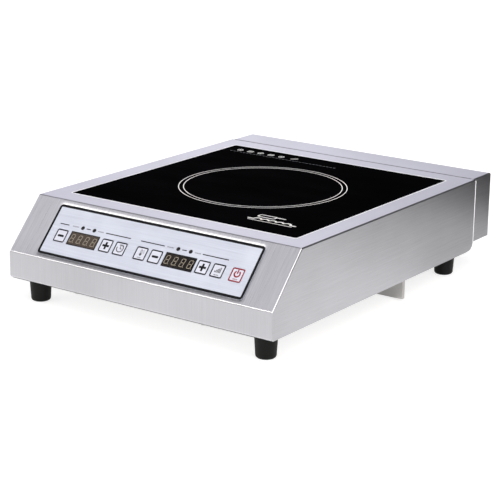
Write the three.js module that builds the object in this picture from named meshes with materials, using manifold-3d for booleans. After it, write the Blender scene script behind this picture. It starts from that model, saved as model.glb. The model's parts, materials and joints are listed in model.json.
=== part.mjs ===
// Countertop induction hob: sheet-steel body with a sloping control panel, a flush ceramic plate,
// a rear exhaust cover, an air baffle underneath and everything it holds inside.
// Millimetres, +X right, +Y back, +Z up. The origin is on the counter, under the middle of the hob.

import * as THREE from 'three';
import { mergeVertices } from 'three/addons/utils/BufferGeometryUtils.js';
import Module from 'manifold-3d';

const wasm = await Module();
wasm.setup();

// ---- driving dimensions -------------------------------------------------------------------

const hob = { width: 330, depth: 425, height: 105 };
const clearance = 0.3;            // gap left between pieces that touch
const shellSheet = 1.2;
const panSheet = 1;

const frontY = -hob.depth / 2;
const rearY = hob.depth / 2;
const topZ = hob.height;
const sideX = hob.width / 2;

const underside = 24.4;           // height of the body's underside above the counter
const shellBottom = underside + panSheet + clearance;
const skirtTop = 54.3;            // where the front skirt bends into the slope
const slopeTopY = frontY + 46.6;  // where the slope bends into the top
const seamY = rearY - 38.5;       // back edge of the shell, where the rear cover starts
const cornerRadius = 10;          // rounded lower back corner of each side
const bendRadius = 2.4;
const sideBend = 1.5;             // bend between each side and the faces that meet it
const returnFlange = 12;          // width of the edges folded inwards

const slopeAngle = Math.atan2(topZ - skirtTop, slopeTopY - frontY);

const glass = { width: 283, depth: 289.6, thickness: 4, radius: 2, y: 3.7 };
const sealWidth = 0.9;
const cooking = { x: 0, y: 4 };   // axis of the coil and of the cooking zone

// ---- shapes and solids --------------------------------------------------------------------

// Closed outline through [x, y, radius] corners; a corner with a radius becomes an arc.
function roundedOutline(corners, Kind = THREE.Shape) {
  const outline = new Kind();
  corners.forEach(([x, y, radius = 0], i) => {
    const corner = new THREE.Vector2(x, y);
    if (radius === 0) {
      if (i === 0) outline.moveTo(x, y);
      else outline.lineTo(x, y);
      return;
    }
    const before = corners.at(i - 1);
    const after = corners[(i + 1) % corners.length];
    const towardsBefore = new THREE.Vector2(before[0] - x, before[1] - y).normalize();
    const towardsAfter = new THREE.Vector2(after[0] - x, after[1] - y).normalize();
    const halfAngle = Math.acos(towardsBefore.dot(towardsAfter)) / 2;
    const reach = radius / Math.tan(halfAngle);
    const middle = towardsBefore.clone().add(towardsAfter).setLength(radius / Math.sin(halfAngle));
    const centre = corner.clone().add(middle);
    const start = corner.clone().addScaledVector(towardsBefore, reach).sub(centre);
    const end = corner.clone().addScaledVector(towardsAfter, reach).sub(centre);
    const turnsRight = towardsBefore.cross(towardsAfter) > 0;
    outline.absarc(centre.x, centre.y, radius, start.angle(), end.angle(), turnsRight);
  });
  outline.closePath();
  return outline;
}

// The corners of a counter-clockwise outline moved inwards by a distance, or outwards when negative.
function inset(corners, distance) {
  const inwards = (from, to) => new THREE.Vector2(from[1] - to[1], to[0] - from[0]).normalize();
  return corners.map((corner, i) => {
    const before = inwards(corners.at(i - 1), corner);
    const after = inwards(corner, corners[(i + 1) % corners.length]);
    const share = distance / (1 + before.dot(after));
    const radius = corner[2] ? Math.max(corner[2] - distance, 0) : 0;
    return [corner[0] + (before.x + after.x) * share, corner[1] + (before.y + after.y) * share, radius];
  });
}

function rectangle(width, depth, radius = 0) {
  const x = width / 2;
  const y = depth / 2;
  return [[-x, -y, radius], [x, -y, radius], [x, y, radius], [-x, y, radius]];
}

function extrude(outline, height, curveSegments = 4) {
  return new THREE.ExtrudeGeometry(outline, { depth: height, bevelEnabled: false, curveSegments });
}

// Plate with rounded corners, its underside centred on the origin.
function plate(width, depth, height, radius = 0, curveSegments = 4) {
  return extrude(roundedOutline(rectangle(width, depth, radius)), height, curveSegments);
}

function block(width, depth, height) {
  return new THREE.BoxGeometry(width, depth, height).translate(0, 0, height / 2);
}

// Upright cylinder with its lower end on the origin.
function rod(radius, height, sides = 20) {
  return new THREE.CylinderGeometry(radius, radius, height, sides)
    .rotateX(Math.PI / 2).translate(0, 0, height / 2);
}

// Solid of revolution about the Z axis from [radius, height] points.
function turned(points, sides = 32) {
  const profile = points.map(([radius, height]) => new THREE.Vector2(radius, height));
  return new THREE.LatheGeometry(profile, sides).rotateX(Math.PI / 2);
}

// Points round a rectangle with rounded corners, the same number for any size.
function roundedRing(width, depth, radius, cornerSteps = 4) {
  const x = width / 2 - radius;
  const y = depth / 2 - radius;
  return [[x, -y], [x, y], [-x, y], [-x, -y]].flatMap(([centreX, centreY], corner) =>
    Array.from({ length: cornerSteps + 1 }, (_, i) => {
      const angle = (corner - 1 + i / cornerSteps) * (Math.PI / 2);
      return new THREE.Vector2(centreX + radius * Math.cos(angle), centreY + radius * Math.sin(angle));
    }));
}

// Closed solid through rings of equally many points, from the lowest to the highest, with flat ends.
function lofted(rings) {
  const count = rings[0].points.length;
  const vertices = rings.flatMap(({ points, height }) => points.flatMap(({ x, y }) => [x, y, height]));
  const indices = [];
  for (let start = 0; start < (rings.length - 1) * count; start += count) {
    for (let i = 0; i < count; i += 1) {
      const here = start + i;
      const next = start + ((i + 1) % count);
      indices.push(here, next, next + count, here, next + count, here + count);
    }
  }
  const top = (rings.length - 1) * count;
  THREE.ShapeUtils.triangulateShape(rings[0].points, []).forEach(([a, b, c]) => {
    indices.push(c, b, a, top + a, top + b, top + c);
  });
  const geometry = new THREE.BufferGeometry();
  geometry.setAttribute('position', new THREE.Float32BufferAttribute(vertices, 3));
  geometry.setIndex(indices);
  return geometry;
}

// A profile drawn in depth (Y) and height (Z), extruded across the width.
function acrossWidth(corners, width) {
  const axes = new THREE.Matrix4().makeBasis(
    new THREE.Vector3(0, 1, 0), new THREE.Vector3(0, 0, 1), new THREE.Vector3(1, 0, 0));
  return extrude(roundedOutline(corners), width).translate(0, 0, -width / 2).applyMatrix4(axes);
}

// A profile drawn in width (X) and height (Z), extruded from front to back about y = 0.
function alongDepth(corners, depth) {
  return extrude(roundedOutline(corners), depth).translate(0, 0, -depth / 2).rotateX(Math.PI / 2);
}

function solidOf(geometry) {
  const bare = new THREE.BufferGeometry();
  bare.setAttribute('position', geometry.getAttribute('position'));
  bare.setIndex(geometry.getIndex());
  const merged = mergeVertices(bare, 1e-4);
  return new wasm.Manifold(new wasm.Mesh({
    numProp: 3,
    vertProperties: merged.getAttribute('position').array,
    triVerts: merged.getIndex().array,
  }));
}

function geometryOf(solid) {
  const mesh = solid.getMesh();
  const geometry = new THREE.BufferGeometry();
  geometry.setAttribute('position', new THREE.BufferAttribute(mesh.vertProperties, 3));
  geometry.setIndex(new THREE.BufferAttribute(mesh.triVerts, 1));
  geometry.computeVertexNormals();
  return geometry;
}

function joined(...geometries) {
  return geometryOf(geometries.map(solidOf).reduce((whole, piece) => whole.add(piece)));
}

function cut(geometry, ...tools) {
  return geometryOf(tools.map(solidOf).reduce((rest, tool) => rest.subtract(tool), solidOf(geometry)));
}

function common(...geometries) {
  return geometryOf(geometries.map(solidOf).reduce((rest, piece) => rest.intersect(piece)));
}

// ---- the assembly -------------------------------------------------------------------------

const object = new THREE.Group();

// Everything on the slope is placed in this group: x across, y up the slope, z out of its surface.
const slope = new THREE.Group();
slope.position.set(0, frontY, skirtTop);
slope.rotation.x = slopeAngle;
slope.updateMatrix();
object.add(slope);

function onSlope(geometry, x, up, out) {
  return geometry.translate(x, up, out).applyMatrix4(slope.matrix);
}

function finish(color, roughness, metalness) {
  return new THREE.MeshStandardMaterial({ color, roughness, metalness });
}

const finishes = {
  brushedSteel: () => finish(0xb9b8bd, 0.34, 1),
  panSteel: () => finish(0x8f8f90, 0.45, 1),
  blackGlass: () => finish(0x050506, 0.05, 0),
  silicone: () => finish(0xc9c9cf, 0.5, 0),
  rubber: () => finish(0x1e201d, 0.6, 0),
  overlayFilm: () => finish(0xd5d9e6, 0.45, 0),
  keyFilm: () => finish(0xdfe1ec, 0.45, 0),
  displayPlastic: () => finish(0x2c2620, 0.25, 0),
  indicator: () => finish(0x2a1c18, 0.3, 0),
  circuitBoard: () => finish(0x1f5b35, 0.5, 0),
  copper: () => finish(0xb06a3c, 0.4, 1),
  mica: () => finish(0xcbbf9f, 0.7, 0),
  ferrite: () => finish(0x2f2f31, 0.7, 0),
  moulding: () => finish(0xd8d3c4, 0.6, 0),
  blackPlastic: () => finish(0x17181a, 0.5, 0),
  aluminium: () => finish(0xb5b7ba, 0.4, 1),
  epoxy: () => finish(0x14151a, 0.5, 0),
  capacitorBox: () => finish(0xa8352b, 0.5, 0),
  zinc: () => finish(0xa9abad, 0.35, 1),
};

function addPart(name, geometry, material, position = [0, 0, 0], parent = object) {
  const mesh = new THREE.Mesh(geometry, material);
  mesh.name = name;
  mesh.position.set(...position);
  parent.add(mesh);
  return mesh;
}

// ---- control panel layout, in the slope's own axes ------------------------------------------

const panel = { x: -1.3, up: 33.9, width: 258, height: 58.2, radius: 4, thickness: 0.8 };
const recess = { margin: 0.5, depth: panel.thickness + clearance };
const dish = { width: 4, depth: 0.5, steps: 4 };   // the sheet rolls down towards the overlay
const controlRow = 28.4;          // height of keys and displays up the slope
const lampRow = 41.6;             // height of the indicator lamps up the slope
const keyCap = { width: 14.2, height: 14.4, radius: 1.9 };
const keyFlange = { width: 16, height: 16.4, radius: 0, thickness: 0.6 };
const keyTravel = 0.5;
const display = { width: 37, height: 15, radius: 0 };
const lampRadius = 1.3;
const keyPlaces = {
  minus_1: -111.1, plus_1: -51.3, timer: -33.1, temperature: -6.5,
  minus_2: 11.6, plus_2: 69.7, power_level: 87.8, on_off: 110.1,
};
const displayPlaces = { left: -81.2, right: 41.1 };
const lampOffset = 7.6;
const lampPlaces = {
  lamp_1: displayPlaces.left - lampOffset, lamp_2: displayPlaces.left + lampOffset,
  lamp_3: displayPlaces.right - lampOffset, lamp_4: displayPlaces.right + lampOffset,
};
const boardFace = -9.4;           // component side of the control board, measured out of the slope
const boardThickness = 1.6;

// Tools that open a sheet for every key, display and lamp, each wider than it by twice the margin.
function controlOpenings(keySize, margin) {
  const reach = 5;
  const opening = ({ width, height, radius }, x) => onSlope(
    plate(width + 2 * margin, height + 2 * margin, 2 * reach, radius, 3), x, controlRow, -reach);
  const keys = Object.values(keyPlaces).map((x) => opening(keySize, x));
  const displays = Object.values(displayPlaces).map((x) => opening(display, x));
  const lamps = Object.values(lampPlaces).map((x) =>
    onSlope(rod(lampRadius + margin, 2 * reach, 8), x, lampRow, -reach));
  return [...keys, ...displays, ...lamps];
}

// ---- outer shell --------------------------------------------------------------------------

const coverScrews = { places: { left: -156, right: 156 }, z: 70, radius: 1.5 };

function coverScrewHoles() {
  const hole = rod(coverScrews.radius + clearance, 10, 12).rotateX(Math.PI / 2);
  return Object.values(coverScrews.places).map((x) =>
    hole.clone().translate(x, seamY + 5, coverScrews.z));
}

function bodyOutline(backY, lowerBackRadius) {
  return [
    [frontY, shellBottom, bendRadius], [backY, shellBottom, lowerBackRadius], [backY, topZ, bendRadius],
    [slopeTopY, topZ, bendRadius], [frontY, skirtTop, bendRadius],
  ];
}

// What the rolled edge round the overlay's recess takes off the slope.
function dishTool() {
  const lift = 0.02;
  const ring = (share, height) => {
    const reach = recess.margin + dish.width * share;
    return {
      points: roundedRing(panel.width + 2 * reach, panel.height + 2 * reach, panel.radius + reach),
      height,
    };
  };
  const rings = Array.from({ length: dish.steps + 1 }, (_, i) => {
    const share = i / dish.steps;
    return ring(share, lift * share - dish.depth * (1 - share) ** 2);
  });
  return onSlope(lofted([...rings, ring(1, 1)]), panel.x, panel.up, 0);
}

function outerShell() {
  const sideView = acrossWidth(bodyOutline(seamY, cornerRadius), hob.width);
  const frontView = alongDepth([
    [-sideX, shellBottom], [sideX, shellBottom], [sideX, topZ, sideBend], [-sideX, topZ, sideBend],
  ], hob.depth);
  const planView = extrude(roundedOutline([
    [-sideX, frontY], [sideX, frontY], [sideX, seamY, sideBend], [-sideX, seamY, sideBend],
  ]), topZ);
  const slopeView = onSlope(alongDepth([
    [-sideX, -hob.depth], [sideX, -hob.depth], [sideX, 0, sideBend], [-sideX, 0, sideBend],
  ], 2 * hob.depth), 0, 0, 0);
  const insideWidth = hob.width - 2 * shellSheet;
  const inside = acrossWidth(inset(bodyOutline(seamY, cornerRadius), shellSheet), insideWidth);
  const folds = returnFlange - shellSheet;
  const backWindow = block(hob.width - 2 * returnFlange, 40, topZ - returnFlange)
    .translate(0, seamY, 0);
  const floorDepth = seamY - frontY - returnFlange + 20;
  const floorWindow = block(hob.width - 2 * returnFlange, floorDepth, 3 * shellSheet)
    .translate(0, (seamY + 20 + frontY + returnFlange) / 2, shellBottom - shellSheet);
  const backCornerWindow = block(insideWidth, cornerRadius + folds, cornerRadius)
    .translate(0, seamY - (cornerRadius + folds) / 2 + 1, shellBottom - 1);
  const joint = sealWidth + 2 * clearance;
  const glassHole = plate(
    glass.width + 2 * joint, glass.depth + 2 * joint, 20, glass.radius + joint)
    .translate(0, glass.y, topZ - 10);
  const folded = cut(
    common(sideView, frontView, planView, slopeView),
    inside, backWindow, floorWindow, backCornerWindow, glassHole);
  const recessWidth = panel.width + 2 * recess.margin;
  const recessHeight = panel.height + 2 * recess.margin;
  const recessFloor = onSlope(
    plate(recessWidth + 3, recessHeight + 3, shellSheet + 0.2, panel.radius),
    panel.x, panel.up, -recess.depth - shellSheet - 0.1);
  const recessTool = onSlope(
    plate(recessWidth, recessHeight, 10, panel.radius + recess.margin),
    panel.x, panel.up, -recess.depth);
  return cut(
    joined(folded, recessFloor), recessTool, dishTool(),
    ...controlOpenings(keyFlange, 0.4), ...coverScrewHoles());
}

addPart('outer_shell', outerShell(), finishes.brushedSteel());

// ---- base pan: floor and rear wall bent from one sheet --------------------------------------

const footPlaces = {
  front_left: [-143, -190.5], front_right: [143, -190.5],
  rear_left: [-143, 149.7], rear_right: [143, 149.7],
};
const footScrewRadius = 2;
const panWidth = hob.width - 2 * (shellSheet + clearance);
const panFrontY = frontY + shellSheet + clearance;
const panRearY = seamY - shellSheet - clearance;
const fan = { x: -80, y: -66, size: 120, height: 25, bore: 58.5 };
const gland = { x: -110, z: 62, thread: 8, bore: 4.5 };
const boardPostHeight = 9.7;
const powerBoard = { x: 82, y: -78, width: 120, depth: 142 };
const filterBoard = { x: 85, y: 60, width: 110, depth: 78 };
const boardBottom = underside + panSheet + boardPostHeight + clearance;
const terminalPlace = [-110, 128];
const slotWidth = 5;
const slotEndRadius = 2.4;

// Row of long round-ended holes through the floor, with their length from front to back.
function floorSlots(centreX, centreY, count, pitch, length) {
  const slot = plate(slotWidth, length, 4 * panSheet, slotEndRadius, 2);
  return Array.from({ length: count }, (_, i) =>
    slot.clone().translate(centreX + (i - (count - 1) / 2) * pitch, centreY, underside - panSheet));
}

// Row of upright round-ended holes through the rear wall.
function wallSlots(centreX, centreZ, count, pitch, length) {
  const slot = plate(slotWidth, length, 10, slotEndRadius, 2).rotateX(Math.PI / 2);
  return Array.from({ length: count }, (_, i) =>
    slot.clone().translate(centreX + (i - (count - 1) / 2) * pitch, panRearY + 5, centreZ));
}

function boardPosts(board) {
  const reachX = board.width / 2 - 6;
  const reachY = board.depth / 2 - 6;
  return [[-1, -1], [1, -1], [1, 1], [-1, 1]].map(([right, back]) =>
    rod(3, boardPostHeight + panSheet / 2, 8)
      .translate(board.x + right * reachX, board.y + back * reachY, underside + panSheet / 2));
}

function basePan() {
  const wallTop = topZ - shellSheet - clearance;
  const outside = [
    [panFrontY, underside], [panRearY, underside, cornerRadius],
    [panRearY, wallTop, panSheet * 0.9], [panRearY - panSheet, wallTop],
    [panRearY - panSheet, underside + panSheet, cornerRadius - panSheet],
    [panFrontY, underside + panSheet],
  ];
  const sheet = joined(
    acrossWidth(outside, panWidth), ...boardPosts(powerBoard), ...boardPosts(filterBoard));
  const footHoles = Object.values(footPlaces).map(([x, y]) =>
    rod(footScrewRadius + clearance, 4, 12).translate(x, y, underside - 1));
  const glandHole = rod(gland.thread + clearance, 10, 20).rotateX(Math.PI / 2)
    .translate(gland.x, panRearY + 5, gland.z);
  return cut(
    sheet, ...footHoles, glandHole,
    ...floorSlots(fan.x, fan.y - 24, 8, 12, 38), ...floorSlots(fan.x, fan.y + 24, 8, 12, 38),
    ...floorSlots(40, 108, 8, 14, 34), ...wallSlots(40, 66, 12, 16, 44));
}

addPart('base_pan', basePan(), finishes.panSteel());

// ---- rear cover over the exhaust ------------------------------------------------------------

const coverInset = 2.4;
const coverBottom = underside + 8.5;
const coverFrontY = seamY + clearance;

function rearCover() {
  const halfWidth = sideX - coverInset;
  const middleY = (coverFrontY + rearY) / 2;
  const outside = common(
    alongDepth([
      [-halfWidth, coverBottom], [halfWidth, coverBottom], [halfWidth, topZ, sideBend],
      [-halfWidth, topZ, sideBend],
    ], rearY - coverFrontY).translate(0, middleY, 0),
    acrossWidth([
      [coverFrontY, coverBottom], [rearY, coverBottom], [rearY, topZ, bendRadius], [coverFrontY, topZ],
    ], hob.width));
  const hollowDepth = rearY - coverFrontY - 2 * shellSheet;
  const hollow = block(2 * (halfWidth - shellSheet), hollowDepth, topZ - coverBottom)
    .translate(0, middleY, coverBottom - shellSheet);
  const frontWindow = block(2 * (halfWidth - returnFlange), 4 * shellSheet, topZ - coverBottom)
    .translate(0, coverFrontY, coverBottom - returnFlange);
  return cut(outside, hollow, frontWindow, ...coverScrewHoles());
}

addPart('rear_cover', rearCover(), finishes.brushedSteel());

// A pan-head screw standing on its head's underside, head up.
function screw(shankRadius, shankLength, headRadius, headHeight) {
  const crown = headHeight * 0.35;
  return turned([
    [0, -shankLength], [shankRadius, -shankLength], [shankRadius, 0], [headRadius, 0],
    [headRadius, headHeight - crown], [headRadius * 0.6, headHeight], [0, headHeight],
  ], 12);
}

// Each screw holds the cover's folded edge to the shell's, with its head inside the exhaust duct.
for (const [side, x] of Object.entries(coverScrews.places)) {
  const fixing = addPart(`cover_screw_${side}`, screw(coverScrews.radius, 3.2, 3, 2), finishes.zinc(),
    [x, coverFrontY + shellSheet + clearance, coverScrews.z]);
  fixing.rotation.x = -Math.PI / 2;
}

// ---- air baffle under the body --------------------------------------------------------------

function airBaffle() {
  const web = { y: 33, width: 318, height: 21.6, flange: 14, wing: 5 };
  const top = underside - clearance;
  const outer = web.width / 2;
  const inner = outer - panSheet;
  const planView = extrude(roundedOutline([
    [-outer, 0], [outer, 0], [outer, web.wing], [inner, web.wing],
    [inner, panSheet], [-inner, panSheet], [-inner, web.wing], [-outer, web.wing],
  ]), web.height).translate(0, web.y, top - web.height);
  const flange = block(web.width - 4, web.flange, panSheet)
    .translate(0, web.y + (panSheet + web.flange) / 2, top - panSheet - 0.2);
  return joined(planView, flange);
}

addPart('air_baffle', airBaffle(), finishes.panSteel());

// ---- feet ---------------------------------------------------------------------------------

const foot = {
  height: underside - clearance, base: 10.3, shoulder: 11.5, lip: 12.1, counterbore: 4.5, web: 12,
};

function rubberFoot() {
  const edge = 3;
  const roundSteps = 3;
  const roundedEdge = Array.from({ length: roundSteps + 1 }, (_, i) => {
    const turn = (i / roundSteps) * (Math.PI / 2);
    return [foot.base - edge + edge * Math.sin(turn), edge - edge * Math.cos(turn)];
  });
  const lipBottom = foot.height - 1.4;
  const screwHole = footScrewRadius + clearance;
  return turned([
    [foot.counterbore, 0], ...roundedEdge, [foot.shoulder, lipBottom], [foot.lip, lipBottom],
    [foot.lip, foot.height], [screwHole, foot.height], [screwHole, foot.web],
    [foot.counterbore, foot.web], [foot.counterbore, 0],
  ], 22);
}

for (const [corner, [x, y]] of Object.entries(footPlaces)) {
  addPart(`foot_${corner}`, rubberFoot(), finishes.rubber(), [x, y, 0]);
  const fixing = addPart(`foot_screw_${corner}`, screw(footScrewRadius, 19.5, 3.9, 2.6), finishes.zinc(),
    [x, y, foot.web - clearance]);
  fixing.rotation.x = Math.PI;
}

// ---- ceramic plate, its seal and its support ------------------------------------------------

const glassBottom = topZ - glass.thickness;

addPart('ceramic_plate', plate(glass.width, glass.depth, glass.thickness, glass.radius),
  finishes.blackGlass(), [0, glass.y, glassBottom]);

// Flat ring of rectangular outline, its underside centred on the origin.
function frameRing(width, depth, band, height, radius) {
  const ring = roundedOutline(rectangle(width, depth, radius));
  const hole = rectangle(width - 2 * band, depth - 2 * band, Math.max(radius - band, 0));
  ring.holes.push(roundedOutline(hole, THREE.Path));
  return extrude(ring, height, 4);
}

const sealOuter = 2 * (sealWidth + clearance);
addPart('ceramic_plate_seal',
  frameRing(
    glass.width + sealOuter, glass.depth + sealOuter, sealWidth, shellSheet, glass.radius + sealWidth),
  finishes.silicone(), [0, glass.y, topZ - shellSheet]);

function plateSupport() {
  const overlap = 8;
  const reach = 14;
  const width = glass.width + 2 * reach;
  const depth = glass.depth + 2 * reach;
  const ledge = frameRing(width, depth, reach + overlap, shellSheet, 0);
  const wall = frameRing(width, depth, shellSheet, glass.thickness - 2 * clearance, 0);
  return joined(ledge, wall);
}

addPart('plate_support_frame', plateSupport(), finishes.panSteel(),
  [0, glass.y, glassBottom - clearance - shellSheet]);

// ---- control panel ------------------------------------------------------------------------

function controlOverlay() {
  const film = plate(panel.width, panel.height, panel.thickness, panel.radius);
  return cut(
    onSlope(film, panel.x, panel.up, -panel.thickness), ...controlOpenings(keyCap, clearance));
}

addPart('control_overlay', controlOverlay(), finishes.overlayFilm());

const keyDepth = panel.thickness + clearance;
const plungerTop = -keyDepth - keyFlange.thickness - 4;
const plungerGap = keyTravel + clearance;

function key() {
  const cap = plate(keyCap.width, keyCap.height, keyDepth, keyCap.radius, 3).translate(0, 0, -keyDepth);
  const flangeBottom = -keyDepth - keyFlange.thickness;
  const flange = block(keyFlange.width, keyFlange.height, keyFlange.thickness)
    .translate(0, 0, flangeBottom);
  const stemBottom = plungerTop + plungerGap;
  const stem = rod(2, flangeBottom + 0.1 - stemBottom, 8).translate(0, 0, stemBottom);
  return joined(cap, flange, stem);
}

for (const [name, x] of Object.entries(keyPlaces)) {
  addPart(`key_${name}`, key(), finishes.keyFilm(), [x, controlRow, 0], slope);
}

for (const [side, x] of Object.entries(displayPlaces)) {
  const depth = -boardFace - clearance;
  addPart(`display_${side}`, block(display.width, display.height, depth), finishes.displayPlastic(),
    [x, controlRow, -depth], slope);
}

for (const [name, x] of Object.entries(lampPlaces)) {
  const depth = -boardFace - clearance;
  addPart(name, rod(lampRadius, depth, 12), finishes.indicator(), [x, lampRow, -depth], slope);
}

function controlBoard() {
  const card = block(244, 44, boardThickness).translate(0, 31, boardFace - boardThickness);
  const switches = Object.values(keyPlaces).flatMap((x) => [
    block(6, 6, 3.2).translate(x, controlRow, boardFace - 0.1),
    rod(1.6, plungerTop - boardFace, 8).translate(x, controlRow, boardFace),
  ]);
  const connector = block(24, 6, 4).translate(0, 46, boardFace - boardThickness - 3.9);
  return joined(card, ...switches, connector);
}

addPart('control_board', controlBoard(), finishes.circuitBoard(), [0, 0, 0], slope);

function controlBracket() {
  const back = boardFace - boardThickness - 6;
  const halfWidth = 127;
  const tray = block(2 * halfWidth, 46, panSheet).translate(0, 31, back);
  const ends = [-1, 1].map((side) => block(panSheet, 46, -recess.depth - 1.6 - back)
    .translate(side * (halfWidth - panSheet / 2), 31, back));
  const posts = [[-116, 13], [116, 13], [116, 49], [-116, 49]].map(([x, up]) =>
    rod(2.5, 6 - clearance, 10).translate(x, up, back));
  return joined(tray, ...ends, ...posts);
}

addPart('control_bracket', controlBracket(), finishes.panSteel(), [0, 0, 0], slope);

// ---- induction coil -------------------------------------------------------------------------

const insulation = { thickness: 0.8, hole: 8 };
const tray = { radius: 108, thickness: 2.2, rim: 4.4 };
const insulationBottom = glassBottom - clearance - insulation.thickness;
const trayBottom = insulationBottom - clearance - tray.rim - tray.thickness;
const ferriteBar = { length: 62, width: 16, height: 5, middle: 62 };

function coilTray() {
  return turned([
    [0, 0], [tray.radius, 0], [tray.radius, tray.thickness + tray.rim],
    [tray.radius - 3, tray.thickness + tray.rim], [tray.radius - 3, tray.thickness],
    [16, tray.thickness], [16, tray.thickness + 3], [12, tray.thickness + 3], [12, tray.thickness],
    [0, tray.thickness],
  ], 40);
}

// Flat spiral of stranded wire, drawn as an outline between its inner and outer edge.
function coilWinding() {
  const start = 22;
  const pitch = 8;
  const wire = 6;
  const turns = 9.5;
  const steps = turns * 20;
  const edge = (radiusOffset) => Array.from({ length: steps + 1 }, (_, i) => {
    const angle = (i / steps) * turns * 2 * Math.PI;
    const radius = start + (pitch * angle) / (2 * Math.PI) + radiusOffset;
    return new THREE.Vector2(radius * Math.cos(angle), radius * Math.sin(angle));
  });
  return extrude(new THREE.Shape([...edge(wire / 2), ...edge(-wire / 2).reverse()]), 4, 1);
}

addPart('coil_tray', coilTray(), finishes.moulding(), [cooking.x, cooking.y, trayBottom]);
addPart('coil_winding', coilWinding(), finishes.copper(),
  [cooking.x, cooking.y, trayBottom + tray.thickness + clearance]);
addPart('insulation_disc',
  turned([[insulation.hole, 0], [tray.radius - 2, 0], [tray.radius - 2, insulation.thickness],
    [insulation.hole, insulation.thickness], [insulation.hole, 0]], 40),
  finishes.mica(), [cooking.x, cooking.y, insulationBottom]);

const sensorBottom = trayBottom + tray.thickness + clearance;
const sensorHeight = glassBottom - clearance - sensorBottom;
addPart('temperature_sensor',
  turned([[0, 0], [6, 0], [6, 3], [4.5, 4.6], [4.5, sensorHeight], [0, sensorHeight]], 20),
  finishes.mica(), [cooking.x, cooking.y, sensorBottom]);

[45, 135, 225, 315].forEach((degrees, i) => {
  const angle = THREE.MathUtils.degToRad(degrees);
  const x = cooking.x + ferriteBar.middle * Math.cos(angle);
  const y = cooking.y + ferriteBar.middle * Math.sin(angle);
  const bar = addPart(`ferrite_bar_${i + 1}`,
    block(ferriteBar.length, ferriteBar.width, ferriteBar.height), finishes.ferrite(),
    [x, y, trayBottom - clearance - ferriteBar.height]);
  bar.rotation.z = angle;
});

const postReach = 98;
const postBottom = underside + panSheet + clearance;
const postSides = { front: [0, -1], right: [1, 0], rear: [0, 1], left: [-1, 0] };
for (const [side, [right, back]] of Object.entries(postSides)) {
  addPart(`coil_post_${side}`, rod(4, trayBottom - clearance - postBottom, 16), finishes.moulding(),
    [cooking.x + right * postReach, cooking.y + back * postReach, postBottom]);
}

// ---- power electronics ----------------------------------------------------------------------

const cardThickness = 1.6;
const onCard = boardBottom + cardThickness + clearance;
const heatSink = { x: 100, y: -82, width: 70, length: 118, height: 34, fins: 9 };
const heatSinkLeft = heatSink.x - heatSink.width / 2;

addPart('power_board', block(powerBoard.width, powerBoard.depth, cardThickness),
  finishes.circuitBoard(), [powerBoard.x, powerBoard.y, boardBottom]);
addPart('filter_board', block(filterBoard.width, filterBoard.depth, cardThickness),
  finishes.circuitBoard(), [filterBoard.x, filterBoard.y, boardBottom]);

function heatSinkBody() {
  const base = block(heatSink.width, heatSink.length, 5);
  const finPitch = (heatSink.width - 2) / (heatSink.fins - 1);
  const fins = Array.from({ length: heatSink.fins }, (_, i) =>
    block(i === 0 ? 4 : 2, heatSink.length, heatSink.height)
      .translate(-heatSink.width / 2 + (i === 0 ? 2 : 1 + i * finPitch), 0, 0));
  return joined(base, ...fins);
}

addPart('heat_sink', heatSinkBody(), finishes.aluminium(), [heatSink.x, heatSink.y, onCard]);

// Flat-backed semiconductor standing against the heat sink's left side.
function addSemiconductor(name, width, height, y) {
  const thickness = 5;
  addPart(name, block(thickness, width, height), finishes.epoxy(),
    [heatSinkLeft - clearance - thickness / 2, y, onCard + 2]);
}

addSemiconductor('switching_transistor_1', 16, 21, -122);
addSemiconductor('switching_transistor_2', 16, 21, -98);
addSemiconductor('bridge_rectifier', 28, 20, -68);

addPart('resonant_capacitor', plate(20, 42, 36, 1.5, 2), finishes.capacitorBox(), [38, -34, onCard]);
addPart('smoothing_capacitor', plate(20, 32, 28, 1.5, 2), finishes.capacitorBox(), [38, -120, onCard]);
addPart('filter_choke', new THREE.TorusGeometry(13, 6.5, 8, 20), finishes.copper(),
  [62, 56, onCard + 6.5]);

function terminalBlock() {
  const body = block(36, 20, 18);
  const pockets = [-11, 0, 11].map((x) => rod(3, 12, 10).translate(x, -3, 8));
  return cut(body, ...pockets);
}

addPart('terminal_block', terminalBlock(), finishes.blackPlastic(),
  [...terminalPlace, underside + panSheet + clearance]);

// ---- cooling fan ----------------------------------------------------------------------------

const motorRadius = 20;
const motorPlate = 3;

function fanHousing() {
  const body = plate(fan.size, fan.size, fan.height, 5, 3);
  const bore = rod(fan.bore, fan.height + 2, 40).translate(0, 0, -1);
  const screwHoles = [[-1, -1], [1, -1], [1, 1], [-1, 1]].map(([right, back]) =>
    rod(2.2, fan.height + 2, 8).translate(right * 52.5, back * 52.5, -1));
  const struts = [45, 135].map((degrees) =>
    block(2 * fan.bore + 4, 6, motorPlate).rotateZ(THREE.MathUtils.degToRad(degrees)));
  const ring = cut(body, bore, ...screwHoles);
  const shaftHole = rod(2 + clearance, 10, 12).translate(0, 0, -1);
  return cut(joined(ring, rod(motorRadius, motorPlate, 24), ...struts), shaftHole);
}

function fanImpeller() {
  const bladeCount = 7;
  const hubHeight = 19;
  const hub = turned([[0, -motorPlate + 0.5], [2, -motorPlate + 0.5], [2, 0], [motorRadius, 0],
    [motorRadius, hubHeight - 2], [motorRadius - 2, hubHeight], [0, hubHeight]], 28);
  const blades = Array.from({ length: bladeCount }, (_, i) =>
    block(38, 22, 1.6).translate(0, 0, -0.8).rotateX(THREE.MathUtils.degToRad(38))
      .translate(motorRadius + 18, 0, hubHeight / 2 - 0.5).rotateZ((i / bladeCount) * 2 * Math.PI));
  return joined(hub, ...blades);
}

const fanBase = underside + panSheet + clearance;
addPart('fan_housing', fanHousing(), finishes.blackPlastic(), [fan.x, fan.y, fanBase]);
addPart('fan_impeller', fanImpeller(), finishes.blackPlastic(),
  [fan.x, fan.y, fanBase + motorPlate + 0.5]);

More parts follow.
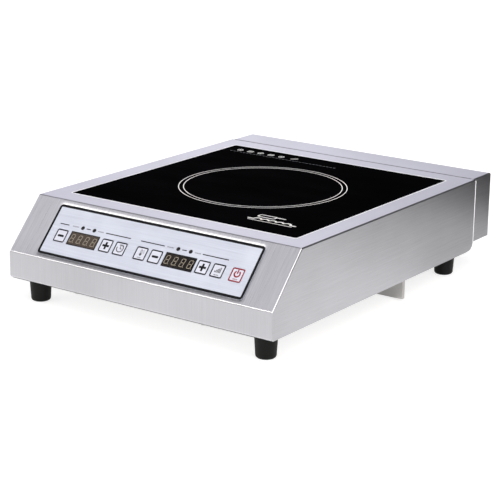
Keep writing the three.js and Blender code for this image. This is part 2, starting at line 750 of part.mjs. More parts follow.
// ---- cable gland in the rear wall -------------------------------------------------------------

function cableGland() {
  const flange = panRearY + clearance;
  const threadLength = 12;
  return turned([
    [gland.bore, -threadLength], [gland.thread, -threadLength], [gland.thread, 0], [11.5, 0], [11.5, 5],
    [10, 6], [10, 15], [7.5, 18], [gland.bore, 18], [gland.bore, -threadLength],
  ], 24).rotateX(-Math.PI / 2).translate(gland.x, flange, gland.z);
}

function glandNut() {
  const nut = new THREE.CylinderGeometry(12, 12, 5, 6);
  const hole = new THREE.CylinderGeometry(gland.thread + clearance, gland.thread + clearance, 7, 20);
  return cut(nut, hole).translate(gland.x, panRearY - panSheet - clearance - 2.5, gland.z);
}

addPart('cable_gland', cableGland(), finishes.blackPlastic());
addPart('cable_gland_nut', glandNut(), finishes.blackPlastic());

export default object;
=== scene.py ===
"""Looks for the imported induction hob: finishes, prints, seals, feet, screws, studio and camera.

Every piece is in metres in the row frame: +X right, +Y back, +Z up, origin on the counter.
"""

import json
import math

import bmesh
import bpy
from mathutils import Matrix, Vector


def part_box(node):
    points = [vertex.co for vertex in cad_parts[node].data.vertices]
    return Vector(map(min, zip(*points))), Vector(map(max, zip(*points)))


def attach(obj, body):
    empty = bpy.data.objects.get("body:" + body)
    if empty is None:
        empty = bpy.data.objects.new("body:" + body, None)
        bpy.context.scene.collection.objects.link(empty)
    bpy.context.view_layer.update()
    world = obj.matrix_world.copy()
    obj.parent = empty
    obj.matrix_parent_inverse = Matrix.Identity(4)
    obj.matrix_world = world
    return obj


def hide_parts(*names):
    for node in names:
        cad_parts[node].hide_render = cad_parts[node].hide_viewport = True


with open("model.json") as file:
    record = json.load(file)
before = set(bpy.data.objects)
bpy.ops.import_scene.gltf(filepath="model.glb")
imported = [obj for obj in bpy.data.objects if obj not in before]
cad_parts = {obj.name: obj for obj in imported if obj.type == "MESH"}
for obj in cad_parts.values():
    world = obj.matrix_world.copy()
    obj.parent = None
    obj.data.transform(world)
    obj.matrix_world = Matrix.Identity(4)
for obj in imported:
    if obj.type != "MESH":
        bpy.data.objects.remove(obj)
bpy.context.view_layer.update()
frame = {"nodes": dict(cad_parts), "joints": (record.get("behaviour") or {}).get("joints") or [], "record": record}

MM = 0.001

# ---- sizes in mm that a node's box doesn't give ---------------------------------------------

DISPLAY_WIDTH = 37
DISPLAY_HEIGHT = 15
PANEL_HEIGHT = 58.2
PANEL_UP = 5.5        # middle of the overlay above the key row, up the slope
KEY_WIDTH = 14.2
KEY_HEIGHT = 14.4
LAMP_ROW = 13.2       # lamps and rules above the key row
LAMP_OFFSET = 7.6     # each lamp's distance from the middle of its display
RULE_WIDTH = 1.0      # printed rules in the lamp row
RULE_ENDS = ((-118.7, -107.4), (-57.9, -26.4), (-12.6, 16.4), (63.6, 94.1))
INK_LOW = 0.01        # gap between a printed mark and the surface it lies on
INK_HIGH = 0.05       # top of a printed mark above that surface
SHEET_EDGE = 0.55     # how far the edges of sheet steel, glass and keys are rounded
GLASS_EDGE = 0.4
KEY_EDGE = 0.25
BEAD_GAP = 0.25       # between the plate's seal and the shell

# ---- the frame's own measures ---------------------------------------------------------------


def centre_of(node):
    low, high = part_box(node)
    return (low + high) / 2


def slope_axes():
    """Matrix from the control panel's own axes, in mm, to the row frame.

    X runs across, Y up the slope and Z out of its surface. The origin is the middle of the key row.
    """
    press = next(joint for joint in frame["joints"] if joint["name"] == "press_on_off")
    outwards = -Vector(press["axis"]).normalized()
    across = Vector((1, 0, 0))
    upwards = outwards.cross(across)
    low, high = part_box("display_left")
    half = DISPLAY_HEIGHT * MM / 2
    origin = Vector((0, low.y + half * upwards.y, high.z - half * upwards.z))
    axes = Matrix((across, upwards, outwards)).transposed().to_4x4()
    return Matrix.Translation(origin) @ axes @ Matrix.Scale(MM, 4)


def level_axes(x, y, z):
    """Matrix from mm about a point of the row frame, with Z up, to the row frame."""
    return Matrix.Translation((x, y, z)) @ Matrix.Scale(MM, 4)


SLOPE = slope_axes()
PANEL_LOW, PANEL_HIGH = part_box("control_overlay")
PANEL_WIDTH = (PANEL_HIGH.x - PANEL_LOW.x) / MM
PANEL_X = (PANEL_HIGH.x + PANEL_LOW.x) / 2 / MM
PLATE_LOW, PLATE_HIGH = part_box("ceramic_plate")
COOKING = centre_of("coil_tray")
ON_PLATE = level_axes(COOKING.x, COOKING.y, PLATE_HIGH.z)

# ---- node materials -------------------------------------------------------------------------


class Nodes:
    """A material's node tree, with short calls to add and link nodes."""

    def __init__(self, name):
        self.material = bpy.data.materials.new(name)
        self.material.use_nodes = True
        self.tree = self.material.node_tree
        self.shader = next(n for n in self.tree.nodes if n.type == "BSDF_PRINCIPLED")

    def add(self, kind, **values):
        node = self.tree.nodes.new(kind)
        for key, value in values.items():
            setattr(node, key, value)
        return node

    def link(self, source, target):
        self.tree.links.new(source, target)

    def position(self):
        return self.add("ShaderNodeTexCoord").outputs["Object"]

    def stretched(self, scale):
        """The object's position multiplied by a scale for each axis, per metre."""
        mapping = self.add("ShaderNodeMapping")
        mapping.inputs["Scale"].default_value = scale
        self.link(self.position(), mapping.inputs["Vector"])
        return mapping.outputs["Vector"]

    def noise(self, scale, detail=3, roughness=0.55):
        texture = self.add("ShaderNodeTexNoise")
        texture.inputs["Scale"].default_value = 1
        texture.inputs["Detail"].default_value = detail
        texture.inputs["Roughness"].default_value = roughness
        self.link(self.stretched(scale), texture.inputs["Vector"])
        return texture.outputs["Fac"]

    def remap(self, value, low, high, from_low=0.3, from_high=0.7):
        """A noise value spread from one range to another."""
        node = self.add("ShaderNodeMapRange")
        node.inputs["From Min"].default_value = from_low
        node.inputs["From Max"].default_value = from_high
        node.inputs["To Min"].default_value = low
        node.inputs["To Max"].default_value = high
        self.link(value, node.inputs["Value"])
        return node.outputs["Result"]

    def math(self, operation, first, second):
        node = self.add("ShaderNodeMath", operation=operation)
        for socket, value in zip(node.inputs, (first, second)):
            if isinstance(value, (int, float)):
                socket.default_value = value
            else:
                self.link(value, socket)
        return node.outputs["Value"]

    def mix(self, fraction, first, second):
        """A value or colour between two others."""
        colours = isinstance(first, tuple)
        node = self.add("ShaderNodeMix", data_type="RGBA" if colours else "FLOAT")
        # the node has a socket set for each data type, and these are the ones in use
        factor, a, b = (node.inputs[i] for i in ((0, 6, 7) if colours else (0, 2, 3)))
        self.link(fraction, factor)
        for socket, value in ((a, first), (b, second)):
            if isinstance(value, (int, float, tuple)):
                socket.default_value = (*value, 1) if isinstance(value, tuple) else value
            else:
                self.link(value, socket)
        return node.outputs[2 if colours else 0]

    def bump(self, height, distance, strength=0.5):
        node = self.add("ShaderNodeBump")
        node.inputs["Strength"].default_value = strength
        node.inputs["Distance"].default_value = distance
        self.link(height, node.inputs["Height"])
        self.link(node.outputs["Normal"], self.shader.inputs["Normal"])

    def set(self, **values):
        for key, value in values.items():
            socket = self.shader.inputs[key.replace("_", " ")]
            if isinstance(value, (int, float)):
                socket.default_value = value
            elif isinstance(value, tuple):
                socket.default_value = (*value, 1)
            else:
                self.link(value, socket)
        return self


def brushed_steel(name, dark, light, roughness=(0.26, 0.36), fine=1100, length=10, relief=0.00001):
    """Steel with a directional grain that shows most on its sloping faces and least on its top.

    The grain runs front to back on the sides, and across the folds everywhere else.
    """
    m = Nodes(name)
    normal = m.add("ShaderNodeNewGeometry").outputs["True Normal"]
    parts = m.add("ShaderNodeSeparateXYZ")
    m.link(normal, parts.inputs["Vector"])
    across, back, up = (m.math("ABSOLUTE", parts.outputs[axis], 0) for axis in "XYZ")
    sideways = m.math("GREATER_THAN", across, 0.8)
    hair = 3 * fine
    short = 4 * length
    broad = m.mix(sideways, m.noise((fine, length, length), 4), m.noise((length, length, fine), 4))
    close = m.mix(sideways, m.noise((hair, short, short), 2), m.noise((short, short, hair), 2))
    lines = m.math("ADD", m.math("MULTIPLY", broad, 0.45), m.math("MULTIPLY", close, 0.55))
    cloud = m.noise((9, 9, 9), 2)
    # the slope alone faces both back and up, so their product picks it out
    on_slope = m.math("MULTIPLY", m.math("MULTIPLY", back, up), 1.3)
    on_sides = m.math("MULTIPLY", sideways, 0.25)
    depth = m.math("ADD", m.math("ADD", on_slope, on_sides), 0.3)
    centred = m.math("SUBTRACT", lines, 0.5)
    contrast = m.math("MULTIPLY", depth, 2.6)
    grain = m.math("ADD", m.math("MULTIPLY", centred, contrast), 0.5)
    tone = m.math("ADD", grain, m.remap(cloud, -0.15, 0.15))
    smear = m.add("ShaderNodeCombineXYZ")
    m.link(m.math("SUBTRACT", 1, sideways), smear.inputs["X"])
    m.link(sideways, smear.inputs["Z"])
    m.set(Base_Color=m.mix(m.remap(tone, 0, 1, 0, 1), dark, light), Metallic=1)
    m.set(Roughness=m.remap(grain, *roughness, 0, 1), Anisotropic=0.55)
    m.link(smear.outputs["Vector"], m.shader.inputs["Tangent"])
    m.bump(lines, relief, 0.2)
    return m.material


def plain_surface(name, colour, roughness, metallic=0, spread=0.12, grain=900, relief=0.00003, **more):
    """A finish with a fine grain in its colour, roughness and relief."""
    m = Nodes(name)
    grit = m.noise((grain, grain, grain), 4)
    cloud = m.noise((14, 14, 14), 3)
    both = m.mix(m.remap(cloud, 0.3, 0.7), grit, cloud)
    dark = tuple(c * (1 - spread) for c in colour)
    light = tuple(min(c * (1 + spread), 1) for c in colour)
    m.set(Base_Color=m.mix(m.remap(both, 0, 1), dark, light), Metallic=metallic)
    m.set(Roughness=m.remap(both, roughness * 0.88, min(roughness * 1.12, 1)), **more)
    m.bump(grit, relief, 0.4)
    return m.material


def panel_film(name, dark, light):
    """Printed polyester film with fine lines across the panel."""
    m = Nodes(name)
    lines = m.noise((14, 900, 900), 4)
    cloud = m.noise((25, 25, 25), 2)
    tone = m.mix(m.remap(cloud, 0.2, 0.6), lines, cloud)
    m.set(Base_Color=m.mix(m.remap(tone, 0, 1), dark, light), Roughness=m.remap(lines, 0.38, 0.52))
    m.bump(lines, 0.00002, 0.3)
    return m.material


def display_filter(name, pale, dark):
    """Smoked plastic that is paler towards the panel's left end, with a noisy spread in its colour and roughness.
    """
    m = Nodes(name)
    parts = m.add("ShaderNodeSeparateXYZ")
    m.link(m.position(), parts.inputs["Vector"])
    haze = m.noise((300, 300, 300), 3)
    share = m.math("ADD", m.remap(parts.outputs["X"], 0, 1, -0.07, 0.05), m.remap(haze, -0.12, 0.12))
    m.set(Base_Color=m.mix(m.remap(share, 0, 1, 0, 1), pale, dark), Specular_IOR_Level=0.2)
    m.set(Roughness=m.remap(haze, 0.13, 0.2))
    m.bump(haze, 0.00001, 0.3)
    return m.material


def ceramic_glass(name):
    """Black glass-ceramic: a polished surface with a faint speckle and wipe marks in its gloss."""
    m = Nodes(name)
    haze = m.noise((12, 30, 12), 3)
    speckle = m.noise((3000, 3000, 3000), 2)
    black = m.mix(m.remap(speckle, 0, 1), (0.0002, 0.0002, 0.0003), (0.0008, 0.0008, 0.001))
    m.set(Base_Color=black, Roughness=0.4, Specular_IOR_Level=0.0)
    m.set(Coat_Weight=m.remap(haze, 0.003, 0.006))
    m.set(Coat_Roughness=m.remap(haze, 0.04, 0.1))
    m.bump(haze, 0.00002, 0.05)
    return m.material


def circuit_card(name):
    """Solder mask with faint copper tracks beneath."""
    m = Nodes(name)
    tracks = m.add("ShaderNodeTexVoronoi", feature="DISTANCE_TO_EDGE")
    tracks.inputs["Scale"].default_value = 1
    m.link(m.stretched((160, 160, 160)), tracks.inputs["Vector"])
    track = m.remap(tracks.outputs["Distance"], 1, 0, 0.04, 0.12)
    m.set(Base_Color=m.mix(track, (0.006, 0.07, 0.022), (0.03, 0.17, 0.06)))
    m.set(Roughness=m.remap(track, 0.34, 0.42, 0, 1))
    m.bump(track, 0.00004, 0.4)
    return m.material


def wound_wire(name):
    """Enamelled copper strands, seen as fine twisted lines."""
    m = Nodes(name)
    wave = m.add("ShaderNodeTexWave", wave_type="BANDS", bands_direction="DIAGONAL")
    wave.inputs["Scale"].default_value = 1
    wave.inputs["Distortion"].default_value = 1.5
    m.link(m.stretched((420, 420, 420)), wave.inputs["Vector"])
    strand = wave.outputs["Fac"]
    m.set(Base_Color=m.mix(strand, (0.27, 0.085, 0.03), (0.72, 0.3, 0.13)), Metallic=1)
    m.set(Roughness=m.remap(strand, 0.3, 0.45, 0, 1))
    m.bump(strand, 0.0002, 0.6)
    return m.material


FINISH = {
    "brushed_steel": brushed_steel("brushed_steel", (0.47, 0.465, 0.485), (0.69, 0.685, 0.715)),
    "sheet_steel": brushed_steel(
        "sheet_steel", (0.48, 0.465, 0.45), (0.62, 0.605, 0.59), roughness=(0.36, 0.5), fine=500,
        length=60),
    "black_ceramic": ceramic_glass("black_ceramic"),
    "seal": plain_surface("seal", (0.90, 0.90, 0.92), 0.3, spread=0.05),
    "foot_rubber": plain_surface(
        "foot_rubber", (0.0048, 0.0053, 0.0044), 0.5, spread=0.3, grain=1500, relief=0.00008,
        Specular_IOR_Level=0.14),
    "zinc_plate": plain_surface("zinc_plate", (0.62, 0.62, 0.61), 0.3, metallic=1, spread=0.15),
    "overlay_film": panel_film("overlay_film", (0.45, 0.47, 0.557), (0.595, 0.62, 0.70)),
    "key_film": panel_film("key_film", (0.55, 0.56, 0.63), (0.65, 0.66, 0.74)),
    "display_window": display_filter("display_window", (0.062, 0.048, 0.038), (0.005, 0.004, 0.003)),
    "indicator": plain_surface(
        "indicator", (0.010, 0.006, 0.005), 0.18, spread=0.3, Specular_IOR_Level=0.4),
    "ferrite": plain_surface("ferrite", (0.03, 0.03, 0.032), 0.7, spread=0.3, relief=0.0001),
    "circuit_board": circuit_card("circuit_board"),
    "copper_wire": wound_wire("copper_wire"),
    "mica": plain_surface("mica", (0.52, 0.44, 0.29), 0.55, spread=0.25, grain=260),
    "heat_moulding": plain_surface("heat_moulding", (0.60, 0.56, 0.45), 0.6, spread=0.1),
    "aluminium": brushed_steel(
        "aluminium", (0.56, 0.57, 0.58), (0.74, 0.75, 0.76), roughness=(0.32, 0.45), fine=1500,
        length=40),
    "black_epoxy": plain_surface("black_epoxy", (0.011, 0.011, 0.013), 0.55, spread=0.3, grain=2200),
    "capacitor_box": plain_surface("capacitor_box", (0.36, 0.04, 0.02), 0.3, spread=0.12),
    "black_plastic": plain_surface(
        "black_plastic", (0.013, 0.013, 0.014), 0.45, spread=0.25, grain=1600, relief=0.00006),
}

INKS = {
    "black": plain_surface(
        "black_ink", (0.004, 0.004, 0.005), 0.5, spread=0.3, Specular_IOR_Level=0.15),
    "grey": plain_surface("grey_ink", (0.09, 0.09, 0.10), 0.5, spread=0.2),
    "red": plain_surface("red_ink", (0.26, 0.003, 0.012), 0.45, spread=0.15, Specular_IOR_Level=0.1),
    "white": plain_surface("white_enamel", (0.94, 0.94, 0.91), 0.45, spread=0.05),
    "segment": plain_surface("unlit_segment", (0.24, 0.20, 0.15), 0.35, spread=0.2),
}

for row in frame["record"]["subparts"]:
    shown = frame["nodes"][row["node"]]
    shown.data.materials.clear()
    shown.data.materials.append(FINISH[row["material_slot"]])

# ---- flat outlines, in mm -------------------------------------------------------------------


def arc(radius, start, end, steps, centre=(0, 0)):
    """Points along an arc, with its angles in degrees."""
    angles = [math.radians(start + (end - start) * i / steps) for i in range(steps + 1)]
    return [(centre[0] + radius * math.cos(a), centre[1] + radius * math.sin(a)) for a in angles]


def circle(radius, steps=48, centre=(0, 0)):
    return arc(radius, 0, 360, steps, centre)[:-1]


def rounded_rectangle(width, height, radius, centre=(0, 0), steps=5):
    x = width / 2 - radius
    y = height / 2 - radius
    corners = ((x, -y, -90), (x, y, 0), (-x, y, 90), (-x, -y, 180))
    return [
        point
        for right, up, start in corners
        for point in arc(radius, start, start + 90, steps, (centre[0] + right, centre[1] + up))
    ]


def bar(start, end, width):
    """A round-ended bar between two points."""
    along = Vector((end[0] - start[0], end[1] - start[1]))
    heading = math.degrees(math.atan2(along.y, along.x))
    tail = arc(width / 2, heading + 90, heading + 270, 4, start)
    return tail + arc(width / 2, heading - 90, heading + 90, 4, end)


def arc_band(radius, width, start, end, steps=28, centre=(0, 0)):
    outer = arc(radius + width / 2, start, end, steps, centre)
    inner = arc(radius - width / 2, end, start, steps, centre)
    return outer + inner


def band(outline, inner):
    """A closed ring between two outlines with equally many points."""
    return (outline, inner)


# ---- solid pieces ---------------------------------------------------------------------------


def loop_of(bm, outline, height):
    """New vertices along an outline, at one height."""
    return [bm.verts.new((x, y, height)) for x, y in outline]


def bridge(bm, lower, upper):
    """Four-sided faces between two closed loops with equally many vertices."""
    for i, vertex in enumerate(lower):
        following = (i + 1) % len(lower)
        bm.faces.new((vertex, lower[following], upper[following], upper[i]))


def add_shape(bm, shape, low, high):
    """A filled outline, or a ring of two outlines, as a closed plate between two heights."""
    if isinstance(shape, tuple):
        outer_low, inner_low = (loop_of(bm, outline, low) for outline in shape)
        outer_high, inner_high = (loop_of(bm, outline, high) for outline in shape)
        bridge(bm, outer_low, outer_high)
        bridge(bm, inner_high, inner_low)
        bridge(bm, outer_high, inner_high)
        bridge(bm, inner_low, outer_low)
        return
    bottom = loop_of(bm, shape, low)
    top = loop_of(bm, shape, high)
    bridge(bm, bottom, top)
    bm.faces.new(top)
    bm.faces.new(list(reversed(bottom)))


def finished(bm, name, axes, material, body, smooth=False):
    """Turns a bmesh in a piece's own axes into a piece that rides on a CAD body."""
    bmesh.ops.recalc_face_normals(bm, faces=bm.faces)
    mesh = bpy.data.meshes.new(name)
    bm.transform(axes)
    bm.to_mesh(mesh)
    bm.free()
    mesh.materials.append(material)
    piece = bpy.data.objects.new(name, mesh)
    bpy.context.scene.collection.objects.link(piece)
    if smooth:
        mesh.shade_smooth()
        mesh.set_sharp_from_angle(angle=math.radians(35))
    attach(piece, body)
    return piece


def flat_piece(name, shapes, axes, material, body="root", low=INK_LOW, high=INK_HIGH):
    bm = bmesh.new()
    for shape in shapes:
        add_shape(bm, shape, low, high)
    return finished(bm, name, axes, material, body)


def turned_piece(name, profile, axes, material, body="root", sides=48):
    """A solid of revolution about Z from [radius, height] points; a radius of 0 closes an end."""
    bm = bmesh.new()
    rings = []
    for radius, height in profile:
        if radius == 0:
            rings.append([bm.verts.new((0, 0, height))])
        else:
            rings.append(loop_of(bm, circle(radius, sides), height))
    pairs = list(zip(rings, rings[1:]))
    if len(rings[0]) > 1 and len(rings[-1]) > 1:
        pairs.append((rings[-1], rings[0]))
    for lower, upper in pairs:
        if len(lower) == 1 or len(upper) == 1:
            tip, rim = (lower, upper) if len(lower) == 1 else (upper, lower)
            for i, vertex in enumerate(rim):
                bm.faces.new((tip[0], vertex, rim[(i + 1) % sides]))
        else:
            bridge(bm, lower, upper)
    return finished(bm, name, axes, material, body, smooth=True)


def soften(piece, width, segments=2, angle=30):
    """Joins a piece's faces, rounds its sharp edges and shades its bends smoothly."""
    piece.data.shade_smooth()
    weld = piece.modifiers.new("weld", "WELD")
    weld.merge_threshold = 0.001 * MM
    flatten = piece.modifiers.new("flatten", "DECIMATE")
    flatten.decimate_type = "DISSOLVE"
    flatten.angle_limit = math.radians(0.3)
    bevel = piece.modifiers.new("soften", "BEVEL")
    bevel.width = width * MM
    bevel.segments = segments
    bevel.limit_method = "ANGLE"
    bevel.angle_limit = math.radians(angle)
    bevel.miter_outer = "MITER_ARC"
    bevel.use_clamp_overlap = True
    even = piece.modifiers.new("even_shading", "WEIGHTED_NORMAL")
    even.weight = 100
    even.keep_sharp = False


# ---- control panel prints -------------------------------------------------------------------


def outline_ring(width, height, radius, line, centre=(0, 0)):
    """A line just inside the edge of a rounded rectangle."""
    outer = rounded_rectangle(width, height, radius, centre)
    inner = rounded_rectangle(width - 2 * line, height - 2 * line, radius - line, centre)
    return band(outer, inner)


def ring(radius, line, centre=(0, 0), steps=48):
    """A circular line of a given width."""
    return band(circle(radius + line / 2, steps, centre), circle(radius - line / 2, steps, centre))


def panel_border():
    border = outline_ring(PANEL_WIDTH - 0.1, PANEL_HEIGHT - 0.1, 3.9, 2.8, (PANEL_X, PANEL_UP))
    flat_piece("panel_border", [border], SLOPE, INKS["black"])


def caption(middle, up, width):
    """A row of small upright dashes that stands in for a printed word."""
    pitch = 0.95
    dash_width = 0.5
    heights = (1.1, 1.4)
    count = round(width / pitch)
    places = [middle + (i - (count - 1) / 2) * pitch for i in range(count)]
    return [
        rounded_rectangle(dash_width, heights[i % 2], 0.1, (x, up), 1) for i, x in enumerate(places)
    ]


def lamp_rules():
    """The printed rules and captions either side of each pair of lamps."""
    rules = []
    captions = []
    rings = []
    for display in ("display_left", "display_right"):
        middle = centre_of(display).x / MM
        lamps = [middle - LAMP_OFFSET, middle + LAMP_OFFSET]
        rules.append(bar((middle - 2.4, LAMP_ROW), (middle + 2.4, LAMP_ROW), RULE_WIDTH))
        captions += caption(lamps[0] - 9.5, LAMP_ROW, 9)
        captions += caption(lamps[1] + 8.5, LAMP_ROW, 8)
        rings += [ring(1.75, 0.9, (x, LAMP_ROW), 24) for x in lamps]
    for start, end in RULE_ENDS:
        rules.append(bar((start, LAMP_ROW), (end, LAMP_ROW), RULE_WIDTH))
    flat_piece("lamp_rules", rules, SLOPE, INKS["black"])
    flat_piece("lamp_captions", captions, SLOPE, INKS["grey"])
    flat_piece("lamp_rims", rings, SLOPE, INKS["black"])


def lamp_lens(node):
    """The low dome of an indicator lamp."""
    middle = centre_of(node)
    axes = SLOPE @ Matrix.Translation((middle.x / MM, LAMP_ROW, 0))
    dome = [(0, 0.005), (1.28, 0.0), (1.2, 0.22), (0.95, 0.42), (0.55, 0.54), (0, 0.58)]
    slot = "indicator"
    turned_piece(f"{node}_lens", dome, axes, FINISH[slot], sides=20)


def minus_sign():
    return [bar((-2.9, 0), (2.9, 0), 2.4)]


def plus_sign():
    reach = 4.1
    half = 1.15
    quarter = [(half, half), (half, reach), (-half, reach)]
    quarter_turns = ((1, 0), (0, 1), (-1, 0), (0, -1))
    return [[
        (x * cosine - y * sine, x * sine + y * cosine)
        for cosine, sine in quarter_turns
        for x, y in quarter
    ]]


def clock_face():
    hands = [bar((0, 0.6), (0, 3.1), 1.0), bar((0, 0.6), (1.9, 0.0), 1.0)]
    return [arc_band(3.9, 1.1, -200, 120, centre=(0, 0.4)), *hands, circle(0.9, 12, (2.8, 3.6))]


def thermometer():
    stem = outline_ring(2.1, 5.2, 1.0, 0.55, (0, 1.9))
    marks = [bar((2.2, up), (3.4, up), 0.5) for up in (1.0, 2.3, 3.6)]
    return [stem, circle(1.5, 20, (0, -0.9)), *marks]


def level_bars():
    return [bar((1.5 * (i - 2), -1.6), (1.5 * (i - 2), -0.6 + 1.1 * i), 1.0) for i in range(5)]


def power_sign():
    return [arc_band(3.1, 1.5, 125, 415, centre=(0, 1.2)), bar((0, 2.0), (0, 5.2), 1.4)]


def key_caption(width):
    """The dashes under a key's sign."""
    return caption(0, -4.5, width)


KEY_PRINTS = {
    "minus_1": ("black", minus_sign()),
    "plus_1": ("black", plus_sign()),
    "timer": ("grey", clock_face()),
    "temperature": ("grey", thermometer() + key_caption(5)),
    "minus_2": ("black", minus_sign()),
    "plus_2": ("black", plus_sign()),
    "power_level": ("grey", level_bars() + key_caption(6)),
    "on_off": ("red", power_sign() + key_caption(5.6)),
}


def key_print(name, ink, shapes):
    """A key's printed outline and sign, which travel with the key."""
    body = f"key_{name}"
    axes = SLOPE @ Matrix.Translation((centre_of(body).x / MM, 0, 0))
    edge = outline_ring(KEY_WIDTH - 0.1, KEY_HEIGHT - 0.1, 1.85, 1.2)
    edge_ink = INKS["red" if ink == "red" else "black"]
    flat_piece(f"{body}_outline", [edge], axes, edge_ink, body)
    flat_piece(f"{body}_sign", shapes, axes, INKS[ink], body)


# ---- displays -------------------------------------------------------------------------------


def segment_outline(start, end, width, gap=0.12):
    """One bar of a seven-segment digit, pointed at both ends."""
    along = (Vector(end) - Vector(start)).normalized()
    side = Vector((-along.y, along.x)) * width / 2
    tip = along * width / 2
    first = Vector(start) + along * gap
    last = Vector(end) - along * gap
    lower = (first, first + tip - side, last - tip - side)
    upper = (last, last - tip + side, first + tip + side)
    return [tuple(point) for point in lower + upper]


def digit(centre_x, height=8.6, width=4.2, line=0.7):
    """The seven bars and the point of one unlit digit, leaning slightly to the right."""
    lean = math.tan(math.radians(8))
    x = width / 2
    y = height / 2
    ends = [
        ((-x, y), (x, y)), ((-x, 0), (x, 0)), ((-x, -y), (x, -y)),
        ((-x, 0), (-x, y)), ((x, 0), (x, y)), ((-x, -y), (-x, 0)), ((x, -y), (x, 0)),
    ]
    shapes = [segment_outline(start, end, line) for start, end in ends]
    shapes.append(circle(0.45, 12, (x + 1.15, -y)))
    return [[(centre_x + px + py * lean, py) for px, py in outline] for outline in shapes]


def display_face(node):
    """The smoked window of a display, its frame and its four unlit digits."""
    axes = SLOPE @ Matrix.Translation((centre_of(node).x / MM, 0, 0))
    slot = "display_window"
    width = DISPLAY_WIDTH + 0.5
    height = DISPLAY_HEIGHT + 0.5
    pane_top = 0.12
    marks_low = 0.13
    window = rounded_rectangle(width, height, 0.5)
    pane = flat_piece(f"{node}_window", [window], axes, FINISH[slot], high=pane_top)
    soften(pane, 0.04, 1)
    rim = outline_ring(width, height, 0.6, 0.9)
    flat_piece(f"{node}_rim", [rim], axes, INKS["black"], low=marks_low, high=0.2)
    pitch = 9.3
    digits = [shape for i in range(4) for shape in digit((i - 1.5) * pitch - 0.2)]
    flat_piece(f"{node}_digits", digits, axes, INKS["segment"], low=marks_low, high=0.17)


# ---- prints on the ceramic plate ------------------------------------------------------------


def zone_rings():
    """The two rings printed round the cooking zone."""
    rings = [ring(radius, 0.85, steps=180) for radius in (89.8, 84.6)]
    flat_piece("zone_rings", rings, ON_PLATE, INKS["white"])


def coil_mark():
    """A plain sign of a pan over a coil, near the plate's front right corner."""
    loop = 4.4
    loops = 5
    line = 2.1
    start = 67.5
    end = start + 2 * loops * loop
    base = -111.5
    marks = [
        arc_band(loop, line, 180, 0, 16, (start + loop * (2 * i + 1), base)) for i in range(loops)
    ]
    marks.append(bar((start - 6, base), (start, base), line))
    marks.append(bar((end, base), (end + 6, base), line))
    marks.append(bar((start - 4, base - 4), (end + 4, base - 4), 1.0))
    marks.append(outline_ring(21, 8.5, 2.6, 1.4, (start + 8, base + 13)))
    marks.append(bar((start + 19, base + 15.5), (start + 28, base + 15.5), 1.6))
    flat_piece("coil_mark", marks, ON_PLATE, INKS["white"])


def rear_marks():
    """A row of plain signs and a dashed rule where the plate's rear prints lie."""
    row = 127.0
    rule_row = 118
    dash = 2.8
    dash_pitch = 4.6
    signs = []
    for i in range(5):
        x = -122 + 14.5 * i
        if i % 2:
            signs.append(outline_ring(7, 6.4, 1, 0.9, (x, row)))
            signs.append(bar((x - 1.5, row), (x + 1.5, row), 1.0))
        else:
            signs.append(ring(3.2, 0.9, (x, row), 24))
            signs.append(circle(1.1, 12, (x, row)))
    signs.append(bar((-49, row - 2), (-43, row + 2.5), 1.6))
    starts = [-130 + dash_pitch * i for i in range(32)]
    dashes = [bar((x, rule_row), (x + dash, rule_row), 0.8) for x in starts]
    flat_piece("rear_signs", signs, ON_PLATE, INKS["white"])
    flat_piece("rear_rule", dashes, ON_PLATE, INKS["grey"])


def plate_seal():
    """The bead that fills the joint between the plate and the shell, slightly crowned."""
    low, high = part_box("ceramic_plate_seal")
    outer_width = (high.x - low.x) / MM + 2 * BEAD_GAP
    outer_depth = (high.y - low.y) / MM + 2 * BEAD_GAP
    inner_width = (PLATE_HIGH.x - PLATE_LOW.x) / MM + 0.1
    inner_depth = (PLATE_HIGH.y - PLATE_LOW.y) / MM + 0.1
    centre = (low + high) / 2
    steps = ((0, -1.2), (0, 0.02), (0.25, 0.24), (0.5, 0.32), (0.75, 0.24), (1, 0.02), (1, -1.2))
    bm = bmesh.new()
    rings = []
    for share, height in steps:
        width = outer_width + (inner_width - outer_width) * share
        depth = outer_depth + (inner_depth - outer_depth) * share
        rings.append(loop_of(bm, rounded_rectangle(width, depth, 2.9 - 0.9 * share), height))
    for lower, upper in zip(rings, rings[1:] + rings[:1]):
        bridge(bm, lower, upper)
    axes = level_axes(centre.x, centre.y, PLATE_HIGH.z)
    bead = finished(bm, "plate_seal_bead", axes, FINISH["seal"], "root", smooth=True)
    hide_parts("ceramic_plate_seal")


def painted_seam_highlights():
    """A painted highlight down each side, where the rear cover meets the shell: a thin white rod in the seal's
    finish that stands in for the light caught by the rounded edge there.
    """
    shell_low, shell_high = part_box("outer_shell")
    cover_low, cover_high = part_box("rear_cover")
    radius = 0.65
    inset = 0.6
    behind_shell = 0.25
    foot = cover_low.z / MM + 0.3
    height = cover_high.z / MM - 1.6 - foot
    profile = [(0, 0), (radius * 0.7, 0), (radius, 0.3), (radius, height - 0.3), (radius * 0.7, height)]
    for side, x in (("left", shell_low.x + inset * MM), ("right", shell_high.x - inset * MM)):
        axes = level_axes(x, shell_high.y + behind_shell * MM, foot * MM)
        # the seal's white finish here is a painted highlight, not a seal
        turned_piece(
            f"painted_seam_highlight_{side}", [*profile, (0, height)], axes, FINISH["seal"], sides=16)


# ---- feet and screws ------------------------------------------------------------------------


